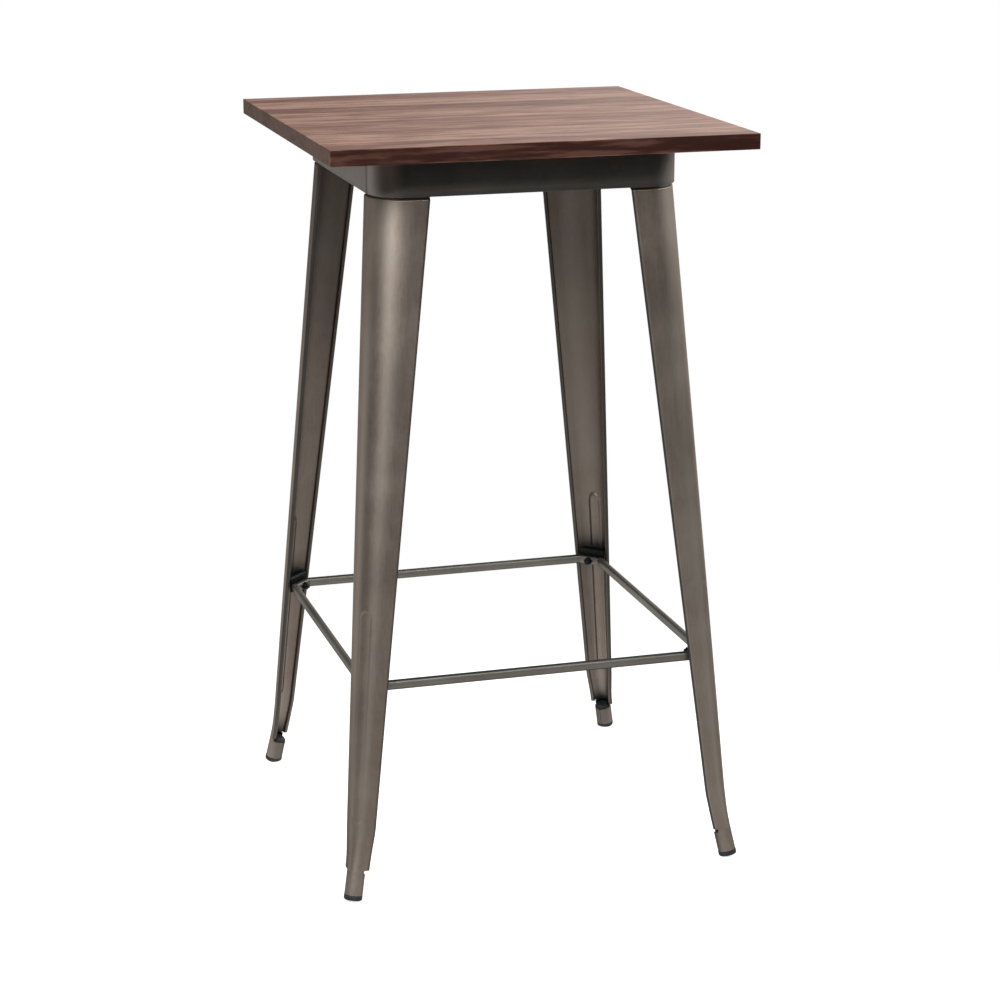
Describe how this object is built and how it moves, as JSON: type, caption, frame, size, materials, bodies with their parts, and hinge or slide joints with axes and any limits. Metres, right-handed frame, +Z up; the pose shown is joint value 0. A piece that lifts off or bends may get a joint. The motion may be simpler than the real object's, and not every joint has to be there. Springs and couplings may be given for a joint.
{
  "type": "pub table",
  "caption": "Bar-height pub table: square solid wood top on a pressed steel base with splayed tapered legs and a square footrest ring.",
  "frame": {"origin": "on the floor under the centre of the table", "axes": "+Z up, the staves run along X, the front edge of the top towards -Y"},
  "size_m": [0.6, 0.6, 1.064],
  "materials": {
    "walnut_top": "oiled, satin, grain along the staves",
    "gunmetal_steel": "raw steel under a satin clear coat, brown grey",
    "black_rubber": "moulded, matt",
    "zinc_fasteners": "zinc plated, dulled"
  },
  "bodies": {
    "root": {"top_stave_1": "walnut_top", "top_stave_2": "walnut_top", "top_stave_3": "walnut_top", "top_stave_4": "walnut_top", "top_stave_5": "walnut_top", "top_stave_6": "walnut_top", "top_stave_7": "walnut_top", "apron_skirt": "gunmetal_steel", "apron_gusset_back_right": "gunmetal_steel", "leg_cap_back_right": "gunmetal_steel", "leg_back_right": "gunmetal_steel", "footrest_bracket_back_right": "gunmetal_steel", "footrest_corner_back_right": "gunmetal_steel", "apron_gusset_back_left": "gunmetal_steel", "leg_cap_back_left": "gunmetal_steel", "leg_back_left": "gunmetal_steel", "footrest_bracket_back_left": "gunmetal_steel", "footrest_corner_back_left": "gunmetal_steel", "apron_gusset_front_left": "gunmetal_steel", "leg_cap_front_left": "gunmetal_steel", "leg_front_left": "gunmetal_steel", "footrest_bracket_front_left": "gunmetal_steel", "footrest_corner_front_left": "gunmetal_steel", "apron_gusset_front_right": "gunmetal_steel", "leg_cap_front_right": "gunmetal_steel", "leg_front_right": "gunmetal_steel", "footrest_bracket_front_right": "gunmetal_steel", "footrest_corner_front_right": "gunmetal_steel", "footrest_bar_back": "gunmetal_steel", "footrest_bar_left": "gunmetal_steel", "footrest_bar_front": "gunmetal_steel", "footrest_bar_right": "gunmetal_steel", "rubber_foot_back_right": "black_rubber", "rubber_foot_back_left": "black_rubber", "rubber_foot_front_left": "black_rubber", "rubber_foot_front_right": "black_rubber", "leg_bolts": "zinc_fasteners", "leg_washers": "zinc_fasteners", "leg_nuts": "zinc_fasteners", "footrest_bolts": "zinc_fasteners", "footrest_washers": "zinc_fasteners", "footrest_nuts": "zinc_fasteners", "wood_screws": "zinc_fasteners"}
  },
  "joints": []
}
